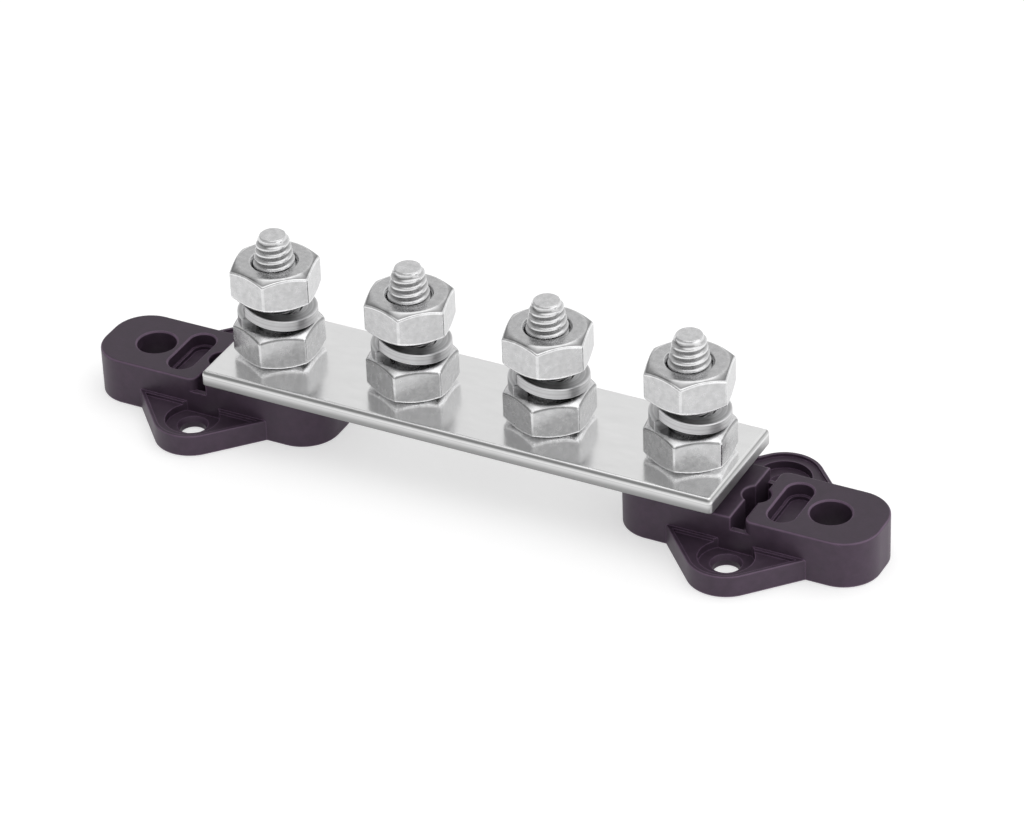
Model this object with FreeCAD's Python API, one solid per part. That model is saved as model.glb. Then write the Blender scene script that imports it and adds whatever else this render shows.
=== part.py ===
import FreeCAD
import Part
import math
import os

# Terminal strip: a plated bus bar with four threaded studs, held up by two moulded feet.
# Each stud carries a clamping nut, a split spring washer and a top nut for the cable lugs.
# Millimetres. X runs along the strip, Y across it, Z up. The origin lies under the middle
# of the strip, on the plane that the feet stand on.

# Bus bar
stud_count = 4
stud_pitch = 31.8
bar_end_margin = 11.2
bar_width = 29.0
bar_thickness = 3.5
bar_top_round = 1.1
bar_bottom_round = 0.4
bar_corner_round = 1.0

# Moulded foot, seen from its own centre with X pointing to the end of the strip
foot_length = 56.4
foot_width = 19.8
foot_height = 10.5
seat_height = 13.2
bolt_offset = 14.3
bar_overhang = 2.2
foot_end_flat = 3.8
foot_edge_round = 0.5
rim_bevel = 0.3

# Cable tie slot across the foot, with a low sill at each mouth and a round socket
slot_offset = 0.3
slot_width = 2.8
slot_depth = 7.3
sill_depth = 3.1
sill_wall = 1.2
socket_diameter = 5.9
socket_depth = 8.0
slot_mouth_round = 1.8

# Cored recess and end hole in the outer half of the foot
recess_offset = 7.85
recess_width = 5.9
recess_wall = 2.6
recess_depth = 3.7
recess_step_depth = 2.8
recess_step = 0.6
end_hole_offset = 16.6
end_hole_diameter = 8.6

# Fixing ears, one in front of the foot and a taller one behind it
front_ear_height = 4.8
back_ear_height = 6.4
ear_half_span = 15.4
ear_root = 1.0
ear_tip_radius = 8.3
ear_screw_gap = 4.4
ear_rim = 0.8
ear_edge_round = 0.3
ear_ledge = 0.7
ear_pocket_depth = 0.7
ear_well_diameter = 11.6
ear_well_depth = 2.4
screw_hole_diameter = 5.6
screw_cone_diameter = 6.6
screw_cone_depth = 1.2

# Studs and their threads
stud_diameter = 10.0
stud_reach = 28.2
stud_tip_diameter = 5.6
stud_tip_chamfer = 1.3
stud_lead_diameter = 7.2
stud_lead_length = 8.5
shank_clearance = 0.25
clinch_head_diameter = 14.0
clinch_head_height = 2.0
clinch_head_clearance = 0.1
bolt_head_flats = 16.0
bolt_head_height = 6.4
bolt_head_recess = 0.3
bolt_head_clearance = 0.1

# Nuts and spring washers
across_flats = 17.0
nut_height = 8.0
nut_chamfer_share = 0.92
nut_chamfer_angle = 30.0
nut_mouth = 0.5
lower_nut_turn = 4.5
top_nut_turn = 13.7
washer_outer_diameter = 17.0
washer_inner_diameter = 10.6
washer_thickness = 2.4
washer_rise = 3.6
washer_rise_power = 4.6
washer_split_angle = -118.0
washer_split_gap = 1.0
washer_stations = 17

# Sizes that follow from the values above
bar_length = stud_pitch * (stud_count - 1) + 2 * bar_end_margin
bar_top = seat_height + bar_thickness
stud_top = bar_top + stud_reach
end_stud_x = stud_pitch * (stud_count - 1) / 2
foot_centre_x = end_stud_x + bolt_offset
seat_edge_x = bar_length / 2 - bar_overhang - foot_centre_x
foot_corner_radius = (foot_width - foot_end_flat) / 2
recess_length = foot_width - 2 * recess_wall
ear_screw_offset = foot_width / 2 + ear_screw_gap
bolt_pocket_depth = bolt_head_recess + bolt_head_height
washer_base = bar_top + nut_height
top_nut_base = washer_base + washer_rise + washer_thickness
shank_hole_radius = stud_diameter / 2 + shank_clearance
clinch_pocket_radius = clinch_head_diameter / 2 + clinch_head_clearance

# A length past the whole strip, for cutters, and one below any real size, for picking edges
FAR = 2 * bar_length
TINY = 0.001


def point(x, y, z=0.0):
    return FreeCAD.Vector(x, y, z)


def extruded(wire, bottom, top):
    """A closed flat wire at height zero, raised to a solid between two heights."""
    solid = Part.Face(wire).extrude(point(0, 0, top - bottom))
    solid.translate(point(0, 0, bottom))
    return solid


def box(x_low, x_high, y_low, y_high, z_low, z_high):
    size = (x_high - x_low, y_high - y_low, z_high - z_low)
    return Part.makeBox(size[0], size[1], size[2], point(x_low, y_low, z_low))


def cylinder(x, y, radius, bottom, top):
    return Part.makeCylinder(radius, top - bottom, point(x, y, bottom))


def turned(profile):
    """A closed profile of (radius, height) pairs, turned about the Z axis."""
    corners = [point(radius, 0, height) for radius, height in profile]
    wire = Part.makePolygon(corners + corners[:1])
    return Part.Face(wire).revolve(point(0, 0), point(0, 0, 1), 360)


def obround(length, width):
    """Outline with two straight sides and two half-round ends, long along X."""
    radius = width / 2
    straight = length / 2 - radius
    return Part.Wire([
        Part.makeLine(point(-straight, -radius), point(straight, -radius)),
        Part.Arc(point(straight, -radius), point(straight + radius, 0),
                 point(straight, radius)).toShape(),
        Part.makeLine(point(straight, radius), point(-straight, radius)),
        Part.Arc(point(-straight, radius), point(-straight - radius, 0),
                 point(-straight, -radius)).toShape(),
    ])


def hexagon(flats, turn):
    """Outline of a hexagon with one corner on +X before it is turned by degrees."""
    radius = flats / math.sqrt(3)
    corners = []
    for corner in range(6):
        angle = math.radians(60 * corner + turn)
        corners.append(point(radius * math.cos(angle), radius * math.sin(angle)))
    return Part.makePolygon(corners + corners[:1])


def rounded(solid, radius, chosen):
    """Fillets the edges that the given test picks by their middle and their box."""
    edges = [edge for edge in solid.Edges if chosen(edge.BoundBox)]
    return solid.makeFillet(radius, edges)


def ear_outline(half_span, base_y, radius):
    """Ear seen from above: two straight sides that run on to a round tip at -Y."""
    centre_y = -ear_screw_offset
    reach_x = half_span
    reach_y = base_y - centre_y
    distance = math.hypot(reach_x, reach_y)
    angle = math.atan2(reach_y, reach_x) - math.acos(radius / distance)
    touch = point(radius * math.cos(angle), centre_y + radius * math.sin(angle))
    mirrored = point(-touch.x, touch.y)
    root_y = base_y + ear_root
    return Part.Wire([
        Part.makeLine(point(-half_span, root_y), point(-half_span, base_y)),
        Part.makeLine(point(-half_span, base_y), mirrored),
        Part.Arc(mirrored, point(0, centre_y - radius), touch).toShape(),
        Part.makeLine(touch, point(half_span, base_y)),
        Part.makeLine(point(half_span, base_y), point(half_span, root_y)),
        Part.makeLine(point(half_span, root_y), point(-half_span, root_y)),
    ])


def ear(height):
    """One ear at -Y: a rimmed plate with sunk corners and a well round its screw hole."""
    outline = ear_outline(ear_half_span, -foot_width / 2, ear_tip_radius)
    wall_y = -foot_width / 2
    plate = extruded(outline, 0, height)
    plate = rounded(plate, ear_edge_round, lambda limits: limits.ZMin > height - TINY
                    and limits.YMin < wall_y - TINY)
    inside = Part.Face(outline).makeOffset2D(-ear_rim)
    pocket = inside.extrude(point(0, 0, height))
    pocket.translate(point(0, 0, height - ear_pocket_depth))
    pocket = pocket.common(box(-FAR, FAR, -FAR, wall_y - ear_ledge, 0, FAR))
    well_floor = height - ear_well_depth
    well = cylinder(0, -ear_screw_offset, ear_well_diameter / 2, well_floor, FAR)
    well = well.common(box(-FAR, FAR, -FAR, wall_y, 0, FAR))
    neck = screw_hole_diameter / 2
    cone = screw_cone_diameter / 2
    screw_hole = turned([(0, 0), (neck, 0), (neck, well_floor - screw_cone_depth),
                         (cone, well_floor), (0, well_floor)])
    screw_hole.translate(point(0, -ear_screw_offset))
    return plate.cut([pocket, well, screw_hole])


def foot_block(x_low, x_high, height):
    """Part of the foot's rounded bar between two places along X."""
    half_length = foot_length / 2
    half_width = foot_width / 2
    bar = box(-half_length, half_length, -half_width, half_width, 0, height)
    bar = rounded(bar, foot_corner_radius, lambda limits: limits.ZLength > height / 2)
    return bar.common(box(x_low, x_high, -FAR, FAR, 0, height))


def top_edges(body, outline):
    """Edges of the foot's top faces: their outlines, or else the rims of their openings."""
    edges = []
    for face in body.Faces:
        if face.BoundBox.ZMin > foot_height - TINY:
            for wire in face.Wires:
                if wire.isSame(face.OuterWire) == outline:
                    edges.extend(wire.Edges)
    return edges


def foot():
    """Moulded foot for the right-hand end; the left one is its mirror image."""
    slot_low = slot_offset - slot_width / 2
    slot_high = slot_offset + slot_width / 2
    outer = foot_block(slot_high, FAR, foot_height)
    outer = rounded(outer, slot_mouth_round, lambda limits: limits.ZLength > TINY
                    and limits.XMax < slot_high + TINY)
    inner = foot_block(-FAR, slot_low, foot_height)
    sill_top = foot_height - sill_depth
    sill = foot_block(-foot_corner_radius, foot_corner_radius, sill_top)
    body = outer.fuse([inner, sill]).removeSplitter()

    inner_y = foot_width / 2 - sill_wall
    slot = box(slot_low, slot_high, -inner_y, inner_y, foot_height - slot_depth, FAR)
    socket = cylinder(slot_offset, 0, socket_diameter / 2, foot_height - socket_depth, FAR)
    end_hole = cylinder(end_hole_offset, 0, end_hole_diameter / 2, 0, FAR)
    body = body.cut([slot, socket, recess(), end_hole])
    body = body.makeFillet(foot_edge_round, top_edges(body, True))
    body = body.makeChamfer(rim_bevel, top_edges(body, False))

    back_ear = ear(back_ear_height)
    back_ear.rotate(point(0, 0), point(0, 0, 1), 180)
    seat = foot_block(-FAR, seat_edge_x, seat_height)
    body = body.fuse([ear(front_ear_height), back_ear, seat]).removeSplitter()
    bolt_hole = cylinder(-bolt_offset, 0, shank_hole_radius, 0, FAR)
    pocket_flats = bolt_head_flats + 2 * bolt_head_clearance
    bolt_pocket = extruded(hexagon(pocket_flats, 0), 0, bolt_pocket_depth)
    bolt_pocket.translate(point(-bolt_offset, 0))
    return body.cut([bolt_hole, bolt_pocket])


def recess():
    """Cored recess across the outer half: a mouth, then a smaller well below a step."""
    mouth = extruded(obround(recess_length, recess_width),
                     foot_height - recess_step_depth, FAR)
    well = extruded(obround(recess_length - 2 * recess_step, recess_width - 2 * recess_step),
                    foot_height - recess_depth, FAR)
    cut = mouth.fuse(well)
    cut.rotate(point(0, 0), point(0, 0, 1), 90)
    cut.translate(point(recess_offset, 0))
    return cut


def bus_bar(stud_places):
    """Flat plated bar with rolled upper edges, bored for the studs."""
    half_length = bar_length / 2
    half_width = bar_width / 2
    bar = box(-half_length, half_length, -half_width, half_width, seat_height, bar_top)
    bar = rounded(bar, bar_corner_round, lambda limits: limits.ZLength > bar_thickness / 2)
    bar = rounded(bar, bar_top_round, lambda limits: limits.ZMin > bar_top - TINY)
    bar = rounded(bar, bar_bottom_round, lambda limits: limits.ZMax < seat_height + TINY)
    cuts = []
    for index, x in enumerate(stud_places):
        if is_end(index):
            cuts.append(cylinder(x, 0, shank_hole_radius, seat_height, bar_top))
        else:
            head_top = seat_height + clinch_head_height
            cuts.append(cylinder(x, 0, stud_diameter / 2, seat_height, bar_top))
            cuts.append(cylinder(x, 0, clinch_pocket_radius, seat_height, head_top))
    return bar.cut(cuts)


def is_end(index):
    return index in (0, stud_count - 1)


def shank_profile(bottom):
    """Half section of the threaded shank from a height up to its tapered tip."""
    radius = stud_diameter / 2
    lead_top = stud_top - stud_tip_chamfer
    return [(0, bottom), (radius, bottom), (radius, stud_top - stud_lead_length),
            (stud_lead_diameter / 2, lead_top), (stud_tip_diameter / 2, stud_top),
            (0, stud_top)]


def end_bolt():
    """Hexagon bolt that comes up through the foot and the bar."""
    head = chamfered_hexagon(bolt_head_flats, bolt_head_height, 0, False)
    head.translate(point(0, 0, bolt_head_recess))
    return head.fuse(turned(shank_profile(bolt_pocket_depth))).removeSplitter()


def clinch_stud():
    """Stud pressed into the bar, its round head flush with the underside."""
    head = cylinder(0, 0, clinch_head_diameter / 2, seat_height,
                    seat_height + clinch_head_height)
    return head.fuse(turned(shank_profile(seat_height))).removeSplitter()


def chamfered_hexagon(flats, height, turn, both_ends):
    """Hexagonal prism whose corners are turned off by a cone at its lower or both ends."""
    corner = flats / math.sqrt(3)
    face = flats * nut_chamfer_share / 2
    drop = (corner - face) * math.tan(math.radians(nut_chamfer_angle))
    upper = face if both_ends else corner
    envelope = turned([(0, 0), (face, 0), (corner, drop), (corner, height - drop),
                       (upper, height), (0, height)])
    return extruded(hexagon(flats, turn), 0, height).common(envelope)


def nut(turn):
    """Hexagon nut with its corners and its threaded bore chamfered at both faces."""
    radius = stud_diameter / 2
    mouth = radius + nut_mouth
    bore = turned([(0, 0), (mouth, 0), (radius, nut_mouth), (radius, nut_height - nut_mouth),
                   (mouth, nut_height), (0, nut_height)])
    return chamfered_hexagon(across_flats, nut_height, turn, True).cut(bore)


def washer_edge(radius, lift):
    """One long edge of the split washer: a turn that lies flat at first and then rises."""
    gap = math.degrees(washer_split_gap / (washer_outer_diameter / 2))
    turn = 360 - gap
    points = []
    for station in range(washer_stations):
        run = turn * station / (washer_stations - 1)
        angle = math.radians(washer_split_angle - gap / 2 - run)
        rise = washer_rise * (run / turn) ** washer_rise_power
        points.append(point(radius * math.cos(angle), radius * math.sin(angle), rise + lift))
    curve = Part.BSplineCurve()
    curve.interpolate(points)
    return curve.toShape()


def spring_washer():
    """Split spring washer: a square-cut section carried once round and sprung open."""
    inner = washer_inner_diameter / 2
    outer = washer_outer_diameter / 2
    edges = [washer_edge(inner, 0), washer_edge(outer, 0),
             washer_edge(outer, washer_thickness), washer_edge(inner, washer_thickness)]
    faces = []
    for side in range(4):
        faces.append(Part.makeRuledSurface(edges[side], edges[(side + 1) % 4]))
    for end in (0, -1):
        corners = [edge.Vertexes[end].Point for edge in edges]
        faces.append(Part.Face(Part.makePolygon(corners + corners[:1])))
    shell = Part.makeShell(faces)
    shell.sewShape()
    solid = Part.makeSolid(shell)
    if solid.Volume < 0:
        solid.reverse()
    return solid


def placed(solid, x, z=0.0):
    copy = solid.copy()
    copy.translate(point(x, 0, z))
    return copy


def build():
    """Every piece in its place, by the name of its file."""
    stud_places = [stud_pitch * index - end_stud_x for index in range(stud_count)]
    right_foot = foot()
    left_foot = right_foot.mirror(point(0, 0), point(1, 0))
    pieces = {
        "bus_bar": bus_bar(stud_places),
        "left_foot": placed(left_foot, -foot_centre_x),
        "right_foot": placed(right_foot, foot_centre_x),
    }
    bolt = end_bolt()
    stud = clinch_stud()
    lower_nut = nut(lower_nut_turn - 90)
    top_nut = nut(top_nut_turn - 90)
    washer = spring_washer()
    for index, x in enumerate(stud_places):
        number = index + 1
        if is_end(index):
            pieces[f"end_bolt_{number}"] = placed(bolt, x)
        else:
            pieces[f"clinch_stud_{number}"] = placed(stud, x)
        pieces[f"lower_nut_{number}"] = placed(lower_nut, x, bar_top)
        pieces[f"spring_washer_{number}"] = placed(washer, x, washer_base)
        pieces[f"top_nut_{number}"] = placed(top_nut, x, top_nut_base)
    return pieces


os.makedirs("parts", exist_ok=True)
for name, solid in build().items():
    solid.exportStep(f"parts/{name}.step")
    print(name, "solids", len(solid.Solids), "valid", solid.isValid(),
          "volume", round(solid.Volume, 1))
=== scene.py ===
import math

import bpy
import numpy as np
from mathutils import Matrix, Vector


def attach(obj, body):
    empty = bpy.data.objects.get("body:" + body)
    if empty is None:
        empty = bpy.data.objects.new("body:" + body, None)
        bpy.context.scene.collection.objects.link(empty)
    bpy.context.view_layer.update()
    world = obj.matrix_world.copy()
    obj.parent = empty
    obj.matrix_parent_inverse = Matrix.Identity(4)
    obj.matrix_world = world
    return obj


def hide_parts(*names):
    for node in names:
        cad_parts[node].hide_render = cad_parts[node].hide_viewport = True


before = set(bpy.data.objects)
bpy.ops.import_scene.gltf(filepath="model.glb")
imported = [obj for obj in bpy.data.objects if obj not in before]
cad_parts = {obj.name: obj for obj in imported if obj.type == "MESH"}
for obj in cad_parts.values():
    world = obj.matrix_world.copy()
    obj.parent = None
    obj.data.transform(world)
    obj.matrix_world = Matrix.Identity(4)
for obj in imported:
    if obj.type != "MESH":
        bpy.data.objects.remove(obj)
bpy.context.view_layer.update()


# Moulded feet: black nylon, injection moulded, with a fine matt grain on every face. Their
# rounded edges carry a painted highlight, their hollows painted shade, and their flat tops
# are painted a little darker than their sides. Only their finish is set here.
nylon_colour = (0.068, 0.0435, 0.07)
nylon_gloss = 0.36
# A pair holds the two ends of a range. What is measured comes first, then what it gives:
# how far rounded and true normals agree, how far a slope is from a rim's, how open a hollow
# is, and the slope of a flat top.
# Painted highlights on edges and rims, painted shade in hollows, and flat tops painted darker.
edge_radius = 0.0005
edge_agreement = (0.99, 0.88)
edge_painted_highlight = (1.0, 2.8)
rim_slope = 0.62
rim_spread = (0.1, 0.36)
rim_painted_highlight = (1.9, 1.0)
hollow_reach = 0.011
hollow_openness = (0.64, 0.96)
hollow_painted_shade = 0.78
top_slope = (0.85, 0.99)
top_painted_shade = (1.1, 0.68)


def node(tree, kind, place, inputs=None, **settings):
    """Adds a shader node at a place in the editor, with its properties and plain inputs."""
    made = tree.nodes.new(kind)
    made.location = place
    for name, value in settings.items():
        setattr(made, name, value)
    for name, value in (inputs or {}).items():
        made.inputs[name].default_value = value
    return made


def combined(tree, place, operation, *terms):
    """The output of a Math node whose terms are sockets or plain numbers."""
    made = node(tree, "ShaderNodeMath", place, operation=operation)
    for socket, term in zip(made.inputs, terms):
        if isinstance(term, bpy.types.NodeSocket):
            tree.links.new(term, socket)
        else:
            socket.default_value = term
    return made.outputs[0]


def remapped(tree, place, source, before, after, curve="LINEAR"):
    """A node that carries a socket's values from one pair of ends to another pair, and holds
    them past both ends."""
    ends = {"From Min": before[0], "From Max": before[1], "To Min": after[0], "To Max": after[1]}
    made = node(tree, "ShaderNodeMapRange", place, ends, interpolation_type=curve)
    tree.links.new(source, made.inputs["Value"])
    return made


def new_material(name):
    """A node material with one Principled BSDF; returns material, its tree and the shader."""
    material = bpy.data.materials.new(name)
    material.use_nodes = True
    tree = material.node_tree
    shader = tree.nodes["Principled BSDF"]
    shader.location = (900, 0)
    tree.nodes["Material Output"].location = (1250, 0)
    return material, tree, shader


def grain_group():
    """Fine surface grain: two sizes of noise that give a colour factor, a roughness shift
    and a height. Scales count per metre of Object coordinates, which Stretch multiplies
    first, and Tone is a factor on the colour."""
    group = bpy.data.node_groups.new("surface grain", "ShaderNodeTree")
    face = group.interface
    for name, value in (("Fine scale", 3000.0), ("Broad scale", 60.0), ("Colour change", 0.1),
                        ("Roughness", 0.4), ("Roughness change", 0.1), ("Tone", 1.0)):
        face.new_socket(name, in_out="INPUT", socket_type="NodeSocketFloat").default_value = value
    stretch = face.new_socket("Stretch", in_out="INPUT", socket_type="NodeSocketVector")
    stretch.default_value = (1.0, 1.0, 1.0)
    for name in ("Brightness", "Roughness", "Height"):
        face.new_socket(name, in_out="OUTPUT", socket_type="NodeSocketFloat")
    enter = node(group, "NodeGroupInput", (-900, 0)).outputs
    leave = node(group, "NodeGroupOutput", (700, 0)).inputs
    place = node(group, "ShaderNodeTexCoord", (-900, 300))
    drawn = node(group, "ShaderNodeVectorMath", (-750, 300), operation="MULTIPLY")
    fine = node(group, "ShaderNodeTexNoise", (-600, 300), {"Detail": 3.0})
    broad = node(group, "ShaderNodeTexNoise", (-600, 0), {"Detail": 4.0})
    link = group.links.new
    link(place.outputs["Object"], drawn.inputs[0])
    link(enter["Stretch"], drawn.inputs[1])
    for noise, scale in ((fine, "Fine scale"), (broad, "Broad scale")):
        link(drawn.outputs[0], noise.inputs["Vector"])
        link(enter[scale], noise.inputs["Scale"])
    spread = combined(group, (-350, 100), "MULTIPLY_ADD", broad.outputs["Fac"], 2.0, -1.0)
    tint = combined(group, (0, 200), "MULTIPLY_ADD", spread, enter["Colour change"], 1.0)
    toned = combined(group, (350, 200), "MULTIPLY", tint, enter["Tone"])
    shift = combined(group, (0, 0), "MULTIPLY_ADD", spread, enter["Roughness change"],
                     enter["Roughness"])
    link(toned, leave["Brightness"])
    link(shift, leave["Roughness"])
    link(fine.outputs["Fac"], leave["Height"])
    return group


surface_grain = grain_group()


def grained(tree, shader, colour, values, height, depth):
    """Puts the grain into a material: colour times Brightness, Roughness, and a Bump."""
    grain = node(tree, "ShaderNodeGroup", (100, 0), values, node_tree=surface_grain)
    paint = node(tree, "ShaderNodeVectorMath", (500, 100), {0: colour}, operation="SCALE")
    bump = node(tree, "ShaderNodeBump", (500, -200), {"Strength": height, "Distance": depth})
    link = tree.links.new
    link(grain.outputs["Brightness"], paint.inputs["Scale"])
    link(paint.outputs[0], shader.inputs["Base Color"])
    link(grain.outputs["Roughness"], shader.inputs["Roughness"])
    link(grain.outputs["Height"], bump.inputs["Height"])
    link(bump.outputs["Normal"], shader.inputs["Normal"])
    return grain


def refinished(node_name, material):
    """Gives a CAD node another material and keeps its shape."""
    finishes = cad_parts[node_name].data.materials
    finishes.clear()
    finishes.append(material)


def foot_nylon():
    """Black nylon whose tone is a painted highlight at edges and rims times painted shade in
    hollows and on flat tops.
    """
    material, tree, shader = new_material("black moulded nylon")
    grain = grained(tree, shader, nylon_colour,
                    {"Fine scale": 2600.0, "Broad scale": 420.0, "Colour change": 0.3,
                     "Roughness": 0.46, "Roughness change": 0.08}, 0.3, 0.00006)
    shader.inputs["Specular IOR Level"].default_value = nylon_gloss
    link = tree.links.new
    sharp = node(tree, "ShaderNodeNewGeometry", (-900, 300)).outputs["True Normal"]
    soft = node(tree, "ShaderNodeBevel", (-900, 500), {"Radius": edge_radius}, samples=6)
    agree = node(tree, "ShaderNodeVectorMath", (-700, 400), operation="DOT_PRODUCT")
    link(soft.outputs["Normal"], agree.inputs[0])
    link(sharp, agree.inputs[1])
    # Painted highlight on edges, where rounded and true normals disagree, and on rounded rims.
    edge = remapped(tree, (-500, 400), agree.outputs["Value"], edge_agreement, edge_painted_highlight)
    slope = node(tree, "ShaderNodeSeparateXYZ", (-900, 700))
    link(sharp, slope.inputs[0])
    lean = combined(tree, (-700, 700), "SUBTRACT", slope.outputs["Z"], rim_slope)
    off = combined(tree, (-550, 700), "ABSOLUTE", lean)
    rim = remapped(tree, (-400, 700), off, rim_spread, rim_painted_highlight)
    pale = combined(tree, (-250, 450), "MAXIMUM", edge.outputs[0], rim.outputs[0])
    # Painted shade in hollows, and flat tops painted darker than the sides.
    hollow = node(tree, "ShaderNodeAmbientOcclusion", (-700, 100), {"Distance": hollow_reach},
                  samples=6, only_local=True)
    flat = remapped(tree, (-700, -150), slope.outputs["Z"], top_slope, top_painted_shade)
    shade = remapped(tree, (-500, 100), hollow.outputs["AO"], hollow_openness, (hollow_painted_shade, 1.0))
    link(flat.outputs[0], shade.inputs["To Max"])
    tone = combined(tree, (-250, 250), "MULTIPLY", pale, shade.outputs[0])
    link(tone, grain.inputs["Tone"])
    return material


nylon = foot_nylon()
for side in ("left", "right"):
    refinished(f"{side}_foot", nylon)


# Bus bar: flat copper bar with rolled edges under bright tin plating. The plating is smooth
# enough to mirror the nuts softly, with faint rolling lines that run along the bar.
MM = 0.001
tin_colour = (0.93, 0.93, 0.93)
# Painted light and dark reflection bands along the bar's sides: share of its thickness, and level.
painted_reflection_bands = [(0.0, 0.42), (0.07, 0.3), (0.3, 0.38), (0.42, 0.54), (0.52, 0.68), (0.6, 0.74),
                 (0.64, 0.62), (0.7, 0.86), (0.8, 0.84), (0.87, 0.38), (0.94, 0.42), (0.98, 1.0)]
# The end faces are painted lighter, to at least the second level, and the top is smoother than the
# sides.
end_facing = (0.3, 0.8)
end_painted_light = (0.0, 0.66)
top_start = (0.95, 0.985)
side_to_top_roughness = (0.4, 0.19)


def heights_of(node_name):
    """Lowest and highest place of a CAD node, in millimetres above the floor."""
    levels = [corner[2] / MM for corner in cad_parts[node_name].bound_box]
    return round(min(levels), 3), round(max(levels), 3)


bar_low, bar_top = heights_of("bus_bar")


def bar_tin():
    """Tin plating that mirrors on top and is duller along the sides, with painted light and dark
    reflection bands there and painted light on the end faces.
    """
    material, tree, shader = new_material("bright tin plating")
    grain = grained(tree, shader, tin_colour,
                    {"Fine scale": 900.0, "Broad scale": 420.0, "Colour change": 0.06,
                     "Roughness": 0.15, "Roughness change": 0.05,
                     "Stretch": (0.4, 1.0, 2.5)}, 0.06, 0.00002)
    shader.inputs["Metallic"].default_value = 1.0
    link = tree.links.new
    place = node(tree, "ShaderNodeTexCoord", (-700, 300))
    split = node(tree, "ShaderNodeSeparateXYZ", (-500, 300))
    link(place.outputs["Object"], split.inputs[0])
    share = remapped(tree, (-300, 300), split.outputs["Z"], (bar_low * MM, bar_top * MM), (0, 1))
    bands = node(tree, "ShaderNodeValToRGB", (-150, 300))
    stops = bands.color_ramp.elements
    while len(stops) < len(painted_reflection_bands):
        stops.new(0.5)
    for stop, (where, level) in zip(stops, painted_reflection_bands):
        stop.position = where
        stop.color = (level, level, level, 1.0)
    link(share.outputs[0], bands.inputs[0])
    ways = node(tree, "ShaderNodeNewGeometry", (-700, 550))
    facing = node(tree, "ShaderNodeSeparateXYZ", (-500, 550))
    link(ways.outputs["True Normal"], facing.inputs[0])
    # Painted light on the end faces, over the painted reflection bands.
    across = combined(tree, (-400, 700), "ABSOLUTE", facing.outputs["X"])
    end = remapped(tree, (-300, 550), across, end_facing, end_painted_light)
    tone = combined(tree, (-20, 550), "MAXIMUM", end.outputs[0], bands.outputs["Color"])
    link(tone, grain.inputs["Tone"])
    dull = remapped(tree, (-150, 0), share.outputs[0], top_start, side_to_top_roughness)
    link(dull.outputs[0], grain.inputs["Roughness"])
    return material


refinished("bus_bar", bar_tin())


# Studs: two hexagon bolts that come up through the feet and two clinch studs pressed into the
# bar, of steel with bright zinc plating. The rolled thread thins out towards a tapered tip
# with a flat end, which shows above the top nut.
def toned_metal(name, colour, values, height, depth):
    """A metal with grain whose brightness follows the mesh's own "tone" values."""
    material, tree, shader = new_material(name)
    grain = grained(tree, shader, colour, values, height, depth)
    shader.inputs["Metallic"].default_value = 1.0
    tone = node(tree, "ShaderNodeAttribute", (-150, 200), attribute_name="tone")
    tree.links.new(tone.outputs["Fac"], grain.inputs["Tone"])
    return material


zinc = toned_metal("zinc plated steel", (0.585, 0.585, 0.59),
                   {"Fine scale": 1100.0, "Broad scale": 800.0, "Colour change": 0.28,
                    "Roughness": 0.25, "Roughness change": 0.1}, 0.25, 0.00004)

bolt_low, stud_top = heights_of("end_bolt_1")
top_nut_low, top_nut_top = heights_of("top_nut_1")
stud_pitch = 31.8
stud_count = 4
stud_places = [(index - (stud_count - 1) / 2) * stud_pitch for index in range(stud_count)]
stud_columns = 72

thread_pitch = 1.5
thread_depth = 0.62
thread_turn = 214.0
thread_rows = 384
thread_low = bar_top - 1.9
thread_high = stud_top - 1.375
run_out_low = bar_top - 1.5
tip_rows = [1.3, 1.0, 0.5, 0.25, 0.1, 0.0]
crest_width = 1.35
flank_slope = 2.9
first_turn = 0.9
# The stud's outline without its thread: depths below the tip, and the radius at each.
taper_depths = [0.0, 0.08, 0.3, 1.3, 2.1, 3.9, 5.8, 7.0, 8.6]
taper_radii = [2.6, 2.75, 2.86, 3.45, 3.6, 3.92, 4.32, 4.6, 4.96]

# Painted shade on the stud: darker thread roots, and a darker thread below the top nut, which
# shows between the nuts.
crest_tone = 1.25
root_painted_shade = 0.8
between_nuts_painted_shade = 0.45
painted_shade_high = top_nut_low + 0.5

chamfer_slope = math.radians(30)
bolt_head = {"flats": 16.0, "corner": 0.4, "face": 7.3, "low": bolt_low, "high": 6.7,
             "blunt": 0.2}
clinch_head_radius = 7.0
clinch_head_blunt = 0.2
clinch_head_high = bar_low + 2.0
bolt_shank_low = bolt_head["high"] - 0.1
clinch_shank_low = bar_low + 0.05


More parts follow.
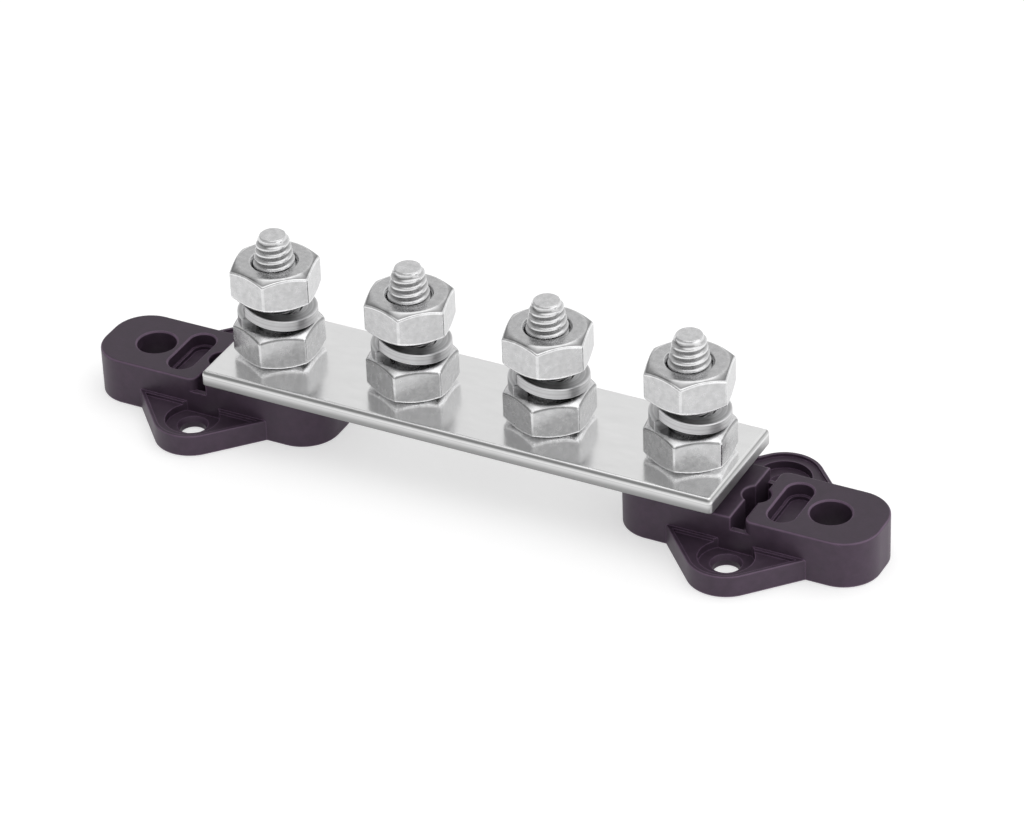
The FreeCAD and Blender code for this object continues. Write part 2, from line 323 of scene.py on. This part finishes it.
def skin_grid(name, points, closed_rows, tone):
    """A closed skin over a grid of points. Rows run along the first axis and the second axis
    goes once round. Rows join end to start, or else flat caps close both ends. Each point
    has a tone, a factor on the plating's brightness there. The skin's volume, summed as
    corner times cross product over its faces, says whether they have to be turned round."""
    rows, around = points.shape[:2]
    index = np.arange(rows * around).reshape(rows, around)
    low = index if closed_rows else index[:-1]
    high = np.roll(index, -1, 0) if closed_rows else index[1:]
    quads = np.stack([low, np.roll(low, -1, 1), np.roll(high, -1, 1), high], -1).reshape(-1, 4)
    faces = quads.tolist()
    if not closed_rows:
        faces += [index[0, ::-1].tolist(), index[-1].tolist()]
    flat = points.reshape(-1, 3)
    first, second, third, fourth = (flat[quads[:, k]] - flat[0] for k in range(4))
    volume = np.sum(np.cross(first, second) * third) + np.sum(np.cross(first, third) * fourth)
    if volume < 0:
        faces = [face[::-1] for face in faces]
    mesh = bpy.data.meshes.new(name)
    mesh.from_pydata((flat * MM).tolist(), [], faces)
    mesh.shade_smooth()
    layer = mesh.attributes.new("tone", "FLOAT", "POINT")
    layer.data.foreach_set("value", np.broadcast_to(tone, (rows, around)).astype("f").ravel())
    piece = bpy.data.objects.new(name, mesh)
    bpy.context.scene.collection.objects.link(piece)
    weigh = piece.modifiers.new("even shading", "WEIGHTED_NORMAL")
    weigh.weight = 90
    return piece


def turned_rows(radius, height, angle):
    """Points at a radius and a height for each row and each angle round the Z axis."""
    radius, height, angle = np.broadcast_arrays(radius, height, angle)
    return np.stack([radius * np.cos(angle), radius * np.sin(angle), height], -1)


def moved(points, x, turn=0.0):
    """The points turned about the Z axis by degrees and set along X, in millimetres."""
    c, s = math.cos(math.radians(turn)), math.sin(math.radians(turn))
    shifted = points.copy()
    shifted[..., 0] = points[..., 0] * c - points[..., 1] * s + x
    shifted[..., 1] = points[..., 0] * s + points[..., 1] * c
    return shifted


def stud_angles():
    """Even angles once round a stud."""
    return np.linspace(0, 2 * math.pi, stud_columns, endpoint=False)[None, :]


def threaded_shank(low):
    """Shank from a height up to the tip. Its radius is an envelope over the depth below the
    tip, less the thread's depth times a rounded saw wave of height plus turn. The first
    turns are uneven. The thread's roots are darkened with painted shade below its crests, and
    the whole thread is darkened with painted shade between the nuts."""
    angle = stud_angles()
    plain = [low, thread_low - 0.1]
    cut_rows = np.linspace(thread_low, thread_high, thread_rows)
    height = np.concatenate([plain, cut_rows, stud_top - np.array(tip_rows)])[:, None]
    below = stud_top - height
    envelope = np.interp(below, taper_depths, taper_radii)
    phase = (height / thread_pitch - angle / (2 * math.pi)) % 1.0
    wave = np.clip(crest_width - flank_slope * np.abs(phase - 0.5), 0.0, 1.0)
    wave = wave * wave * (3 - 2 * wave)
    start = 0.25 + 0.2 * np.sin(angle) + 0.1 * np.sin(3 * angle + 1.0)
    run_out = np.clip(height - run_out_low, 0, 1)
    root = np.clip((below - start) / first_turn, 0, 1) * run_out * (1 - wave)
    # Painted shade in the roots and on the thread between the nuts.
    tone = np.where(height < painted_shade_high, between_nuts_painted_shade, crest_tone - root_painted_shade * root)
    return turned_rows(envelope - thread_depth * root, height, angle), tone


def hexagon_radius(angle, flats, corner):
    """Distance from the middle to a hexagon's outline at an angle. It is half the flats over
    the cosine of the angle from a side's middle, and near a corner the far crossing with an
    arc, whose centre lies on the corner's line."""
    side = (angle + math.pi / 6) % (math.pi / 3) - math.pi / 6
    apothem = flats / 2
    centre = (apothem - corner) / math.cos(math.pi / 6)
    limit = math.atan((apothem - corner) * math.tan(math.pi / 6) / apothem)
    off = math.pi / 6 - np.abs(side)
    arc = centre * np.cos(off) + np.sqrt(np.maximum(corner ** 2 - (centre * np.sin(off)) ** 2, 0))
    return np.where(np.abs(side) > limit, arc, apothem / np.cos(side))


def hexagon_angles(flats, corner):
    """Angles round a hexagon: arctangents of even steps along each side, and even angles
    round each corner's arc."""
    limit = math.atan((flats / 2 - corner) * math.tan(math.pi / 6) / (flats / 2))
    even = np.concatenate([[-1, -0.97], np.linspace(-0.9, 0.9, 11), [0.97, 1]])
    side = np.arctan(even * math.tan(limit))
    bend = np.linspace(limit, math.pi / 3 - limit, 7)[1:-1]
    sector = np.concatenate([side, bend])
    return np.concatenate([sector + math.pi / 3 * k for k in range(6)])


def chamfered_rows(flats, corner, face, low, high, blunt):
    """Half section of a chamfered hexagon for every angle, from the middle of its upper side
    out and down: flat face, cone at the chamfer's slope, side. Each edge between is a small
    curve of the second order, which starts and ends the blunt length from the sharp edge."""
    angle = hexagon_angles(flats, corner)[None, :]
    reach = hexagon_radius(angle, flats, corner)
    drop = (reach - face) * math.tan(chamfer_slope)
    step = np.array([0.0, 0.3, 0.7, 1.0])[:, None]
    out = blunt * math.cos(chamfer_slope)
    down = blunt * math.sin(chamfer_slope)

    def curve(sharp, before, after):
        return ((1 - step) ** 2 * (sharp + before) + 2 * step * (1 - step) * sharp
                + step ** 2 * (sharp + after))

    def bend(radius, height, before, after):
        return curve(radius, before[0], after[0]), curve(height, before[1], after[1])

    whole = np.ones_like(reach)
    rim = bend(face * whole, high * whole, (-blunt, 0), (out, -down))
    edge = bend(reach, high - drop, (-out, down), (0, -blunt))
    under_edge = bend(reach, low + drop, (0, blunt), (-out, -down))
    under_rim = bend(face * whole, low * whole, (out, down), (-blunt, 0))
    return angle, [rim, edge, under_edge, under_rim]


def hexagon_head():
    """The bolt's head: its lower rim, chamfer and edge, and its side up to the flat top."""
    angle, (_, _, under_edge, under_rim) = chamfered_rows(**bolt_head)
    reach = hexagon_radius(angle, bolt_head["flats"], bolt_head["corner"])
    radii, heights = (np.concatenate([under_rim[k][::-1], under_edge[k][::-1], last])
                      for k, last in enumerate((reach, bolt_head["high"] + 0 * reach)))
    return turned_rows(radii, heights, angle)


def round_head():
    """The clinch stud's flat round head: a disc with a small chamfer below."""
    radii = [clinch_head_radius - clinch_head_blunt, clinch_head_radius, clinch_head_radius]
    heights = [bar_low, bar_low + clinch_head_blunt, clinch_head_high]
    return turned_rows(np.array(radii)[:, None], np.array(heights)[:, None], stud_angles())


def dressed(piece, material, node_name=None):
    """Gives a finished piece its material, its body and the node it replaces."""
    piece.data.materials.append(material)
    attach(piece, "root")
    if node_name:
        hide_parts(node_name)


for number, x in enumerate(stud_places, 1):
    if number in (1, stud_count):
        node_name, head, low = f"end_bolt_{number}", hexagon_head(), bolt_shank_low
    else:
        node_name, head, low = f"clinch_stud_{number}", round_head(), clinch_shank_low
    shank, tone = threaded_shank(low)
    piece = skin_grid(f"threaded_stud_{number}", moved(shank, x, thread_turn), False, tone)
    dressed(piece, zinc, node_name)
    cap = skin_grid(f"stud_head_{number}", moved(head, x), False, 1.0)
    dressed(cap, zinc)


# Nuts: hexagon nuts of zinc-plated steel, chamfered on both faces and round the bore. The
# lower ones clamp the bar, and the upper ones stand on the spring washers.
nut_flats = 17.0
nut_corner = 0.5
nut_face = 7.75
nut_height = top_nut_top - top_nut_low
nut_blunt = 0.26
nut_bore = 5.06
# Painted highlight on the corners: angle from a side's middle, depth in from the side, and level.
highlight_corner_angle = 28.3
highlight_depth = 0.3
corner_painted_highlight = 1.2
# Painted light and shade: the chamfer is painted brighter than the edge below it on the lower
# nuts, and darker on the top ones.
nut_kinds = {"lower": {"turn": -55.5, "lip": nut_bore, "chamfer_painted_light": 1.3, "edge_painted_light": 0.62},
             "top": {"turn": -46.3, "lip": 4.68, "chamfer_painted_light": 0.38, "edge_painted_light": 1.36}}


def nut_skin(name, x, base, turn, lip, chamfer_painted_light, edge_painted_light):
    """A nut as rows round its whole section: bore, mouth, face, chamfer, side and back. Its
    corners carry a painted highlight, and the bore is darkened with painted shade. Its mouth
    narrows to the first turn of thread, the lip, which leaves 0.1 mm round the stud. Each ring
    has a radius, a height above the nut's back and a tone."""
    angle, (rim, edge, under_edge, under_rim) = chamfered_rows(
        nut_flats, nut_corner, nut_face, 0.0, nut_height, nut_blunt)
    side = edge[0][3:]

    def ring(radius, height, tone):
        return radius + 0 * side, height + 0 * side, tone

    def on_cone(share):
        return tuple((1 - share) * rim[k][3:] + share * edge[k][:1] for k in (0, 1))

    # Ring tones: painted shade in the bore and mouth, and painted highlights on the mouth's rim
    # and the lower edge.
    bore = [ring(nut_bore, 0.75, 0.6), ring(nut_bore, 6.8, 0.6)]
    mouth = [ring(lip, 7.25, 0.8), ring(lip, 7.42, 0.9), ring(5.14, nut_height - 0.1, 1.1),
             ring(5.24, nut_height, 1.2), ring(5.4, nut_height, 1.0)]
    chamfer = [(*rim, 1.0), (*on_cone(0.3), (1 + chamfer_painted_light) / 2), (*on_cone(0.8), chamfer_painted_light),
               (*edge, edge_painted_light)]
    flank = [(side, edge[1][3:] - 0.12, 1.0), (side, under_edge[1][:1] + 0.2, 1.0)]
    back = [(*under_edge, 1.6), (*under_rim, 1.1), ring(5.75, 0.0, 1.0), ring(5.62, 0.0, 1.0),
            ring(5.5, 0.1, 0.9), ring(5.1, 0.6, 0.7)]
    parts = bore + mouth + chamfer + flank + back
    radii = np.concatenate([part[0] for part in parts])
    heights = np.concatenate([part[1] for part in parts]) + base
    tone = np.concatenate([np.full(part[0].shape, part[2]) for part in parts])
    # Painted highlight on the corners.
    from_side = np.abs((angle + math.pi / 6) % (math.pi / 3) - math.pi / 6)
    painted_corner = (from_side > math.radians(highlight_corner_angle)) & (radii > side - highlight_depth)
    tone = np.where(painted_corner, np.maximum(tone, corner_painted_highlight), tone)
    return skin_grid(name, moved(turned_rows(radii, heights, angle), x, turn), True, tone)


for number, x in enumerate(stud_places, 1):
    for level, kind in nut_kinds.items():
        base = heights_of(f"{level}_nut_{number}")[0]
        piece = nut_skin(f"{level}_hexagon_nut_{number}", x, base, **kind)
        dressed(piece, zinc, f"{level}_nut_{number}")


# Spring washers: one turn of square-cut spring wire, split and sprung open, so that one end
# lies on the lower nut and the other lifts the top nut.
spring_steel = toned_metal("dull spring steel", (0.52, 0.52, 0.525),
                           {"Fine scale": 900.0, "Broad scale": 300.0, "Colour change": 0.2,
                            "Roughness": 0.38, "Roughness change": 0.08}, 0.2, 0.00004)

washer_low, washer_high = heights_of("spring_washer_1")
wire_middle = 6.9
wire_half_width = 1.6
wire_half_height = 1.2
wire_rounding = 0.22
wire_rise = washer_high - washer_low - 2 * wire_half_height
wire_rise_power = 4.6
split_width = 1.0
split_place = -118.0
wire_rows = 145
wire_arc_turns = (0, 30, 60, 90)
wire_side_points = 9
# Painted highlight on the wire's rounded edges, then how far the tones of the lines along it
# differ.
wire_edge_painted_highlight = 1.3
wire_line_depth = 0.2


def washer_skin(name, x):
    """The wire's rounded section carried once round. It climbs as a power of the share of the
    turn: it lies flat at first and rises steeply in the last third. Fine lines run along
    the wire, each with its own tone, and the rounded edges carry a painted highlight."""
    gap = math.degrees(split_width / (wire_middle + wire_half_width))
    run = np.linspace(0, 360 - gap, wire_rows)[:, None]
    rise = wire_rise * (run / (360 - gap)) ** wire_rise_power
    angle = np.radians(split_place - gap / 2 - run)
    inner_width, inner_height = wire_half_width - wire_rounding, wire_half_height - wire_rounding
    arcs = []
    for side, top, start in ((-1, -1, 180), (1, -1, 270), (1, 1, 0), (-1, 1, 90)):
        bend = np.radians(start + np.array(wire_arc_turns))
        arcs.append(np.stack([side * inner_width + wire_rounding * np.cos(bend),
                              top * inner_height + wire_rounding * np.sin(bend)], -1))
    share = np.linspace(0, 1, wire_side_points + 2)[1:-1, None]
    section = np.concatenate([part for arc, after in zip(arcs, arcs[1:] + arcs[:1])
                              for part in (arc, arc[-1] + share * (after[0] - arc[-1]))])
    spot = np.arange(len(section))
    on_edge = spot % (len(wire_arc_turns) + wire_side_points) < len(wire_arc_turns)
    line_tone = 1.0 + wire_line_depth * np.sin(2.3 * spot) * np.sin(0.9 * spot + 1)
    tone = np.where(on_edge, wire_edge_painted_highlight, line_tone)
    heights = rise + wire_half_height + section[:, 1] + washer_low
    points = turned_rows(wire_middle + section[:, 0], heights, angle)
    return skin_grid(name, moved(points, x), False, tone)


for number, x in enumerate(stud_places, 1):
    piece = washer_skin(f"split_washer_{number}", x)
    dressed(piece, spring_steel, f"spring_washer_{number}")


# Floor: a seamless sheet of white paper under the strip, well past the frame on every side.
# It glows a little to the camera and in mirrors, so that it looks white there.
paper_grey = (0.62, 0.62, 0.62, 1.0)
paper_glow = 0.53
paper_half = 3.0
paper_height = -0.0002


def flat_sheet(name, half, height):
    """A square sheet at one height: four corners at plus and minus its half, one face."""
    corners = np.array([(-1, -1, 0), (1, -1, 0), (1, 1, 0), (-1, 1, 0)], float) * half
    corners[:, 2] = height
    mesh = bpy.data.meshes.new(name)
    mesh.from_pydata(corners.tolist(), [], [(0, 1, 2, 3)])
    sheet = bpy.data.objects.new(name, mesh)
    bpy.context.scene.collection.objects.link(sheet)
    return sheet


def floor_paper():
    """Matt white paper that also glows where it is seen directly or in a reflection."""
    material, tree, shader = new_material("white paper floor")
    shader.inputs["Base Color"].default_value = paper_grey
    shader.inputs["Roughness"].default_value = 0.9
    shader.inputs["Specular IOR Level"].default_value = 0.0
    rays = node(tree, "ShaderNodeLightPath", (100, -300)).outputs
    seen = combined(tree, (350, -300), "MAXIMUM", rays["Is Camera Ray"], rays["Is Glossy Ray"])
    either = combined(tree, (550, -300), "MAXIMUM", seen, rays["Is Transmission Ray"])
    glow = combined(tree, (700, -300), "MULTIPLY", either, paper_glow)
    shader.inputs["Emission Color"].default_value = (1.0, 1.0, 1.0, 1.0)
    tree.links.new(glow, shader.inputs["Emission Strength"])
    return material


floor = flat_sheet("floor", paper_half, paper_height)
floor.data.materials.append(floor_paper())


# Light: a pale room, darker in front and to the left, with a wide bright panel overhead to
# the right and one large soft box at the right-hand end.
scene = bpy.context.scene
scene.view_settings.view_transform = "Standard"
# Each range has a direction's share before it and the room's level after it.
front_to_back = {"before": (-0.2, 0.6), "after": (0.62, 0.88)}
left_to_right = {"before": (-1.0, 0.2), "after": (0.72, 1.0)}
walls_to_crown = {"before": (0.66, 0.84), "after": (1.0, 0.6)}
panel_way = (0.12, 0.05, 0.991)
panel_edge = {"before": (0.81, 0.89), "after": (0.0, 1.15)}


def pale_room():
    """A world whose strength is depth level times side level times crown level, plus the
    overhead panel's level."""
    world = bpy.data.worlds.new("pale room")
    world.use_nodes = True
    tree = world.node_tree
    back = tree.nodes["Background"]
    back.inputs["Color"].default_value = (1.0, 1.0, 1.0, 1.0)
    way = node(tree, "ShaderNodeTexCoord", (-1100, 0)).outputs["Generated"]
    split = node(tree, "ShaderNodeSeparateXYZ", (-900, 150))
    toward = node(tree, "ShaderNodeVectorMath", (-900, -350), {1: panel_way},
                  operation="DOT_PRODUCT")
    link = tree.links.new
    link(way, split.inputs[0])
    link(way, toward.inputs[0])
    depth = remapped(tree, (-650, 400), split.outputs["Y"], curve="SMOOTHSTEP", **front_to_back)
    left = remapped(tree, (-650, 150), split.outputs["X"], **left_to_right)
    crown = remapped(tree, (-650, -100), split.outputs["Z"], curve="SMOOTHSTEP", **walls_to_crown)
    panel = remapped(tree, (-650, -350), toward.outputs["Value"], curve="SMOOTHSTEP", **panel_edge)
    sides = combined(tree, (-400, 250), "MULTIPLY", depth.outputs[0], left.outputs[0])
    room = combined(tree, (-200, 0), "MULTIPLY_ADD", sides, crown.outputs[0], panel.outputs[0])
    link(room, back.inputs["Strength"])
    return world


def soft_box(name, place, target, width, depth, power):
    """A rectangular area lamp at a place in metres, turned to face a target."""
    data = bpy.data.lights.new(name, "AREA")
    data.shape = "RECTANGLE"
    data.size = width
    data.size_y = depth
    data.energy = power
    lamp = bpy.data.objects.new(name, data)
    lamp.location = place
    lamp.rotation_euler = (Vector(target) - Vector(place)).to_track_quat("-Z", "Y").to_euler()
    scene.collection.objects.link(lamp)


scene.world = pale_room()
soft_box("right-hand soft box", place=(0.75, -0.1, 0.25), target=(0.06, 0, 0.02), width=0.8,
         depth=0.5, power=1.0)


# Camera: a long lens to the right of the strip's front and above it, as in the photograph.
# The frame's origin is seen at origin_x, origin_y in the picture, in pixels from its corner.
azimuth, elevation, roll = map(math.radians, (28.14, 33.17, -2.25))
focal_pixels = 4500.0
pixels_per_mm = 4.79
origin_x, origin_y = 484.58, 466.37
width, height = 1024, 819
sensor_width = 36.0
backward = Vector((math.sin(azimuth) * math.cos(elevation),
                   -math.cos(azimuth) * math.cos(elevation), math.sin(elevation)))
level = Vector((math.cos(azimuth), math.sin(azimuth), 0.0))
upright = backward.cross(level)
right = math.cos(roll) * level + math.sin(roll) * upright
up = math.cos(roll) * upright - math.sin(roll) * level
offset_x = (origin_x - width / 2) / pixels_per_mm
offset_y = -(origin_y - height / 2) / pixels_per_mm
place = (focal_pixels / pixels_per_mm * backward - offset_x * right - offset_y * up) * MM
lens = bpy.data.cameras.new("camera")
lens.sensor_width = sensor_width
lens.lens = sensor_width * focal_pixels / width
lens.clip_start = 0.01
lens.clip_end = 20.0
camera = bpy.data.objects.new("camera", lens)
turn = Matrix((right, up, backward)).transposed().to_4x4()
camera.matrix_world = Matrix.Translation(place) @ turn
scene.collection.objects.link(camera)
scene.camera = camera
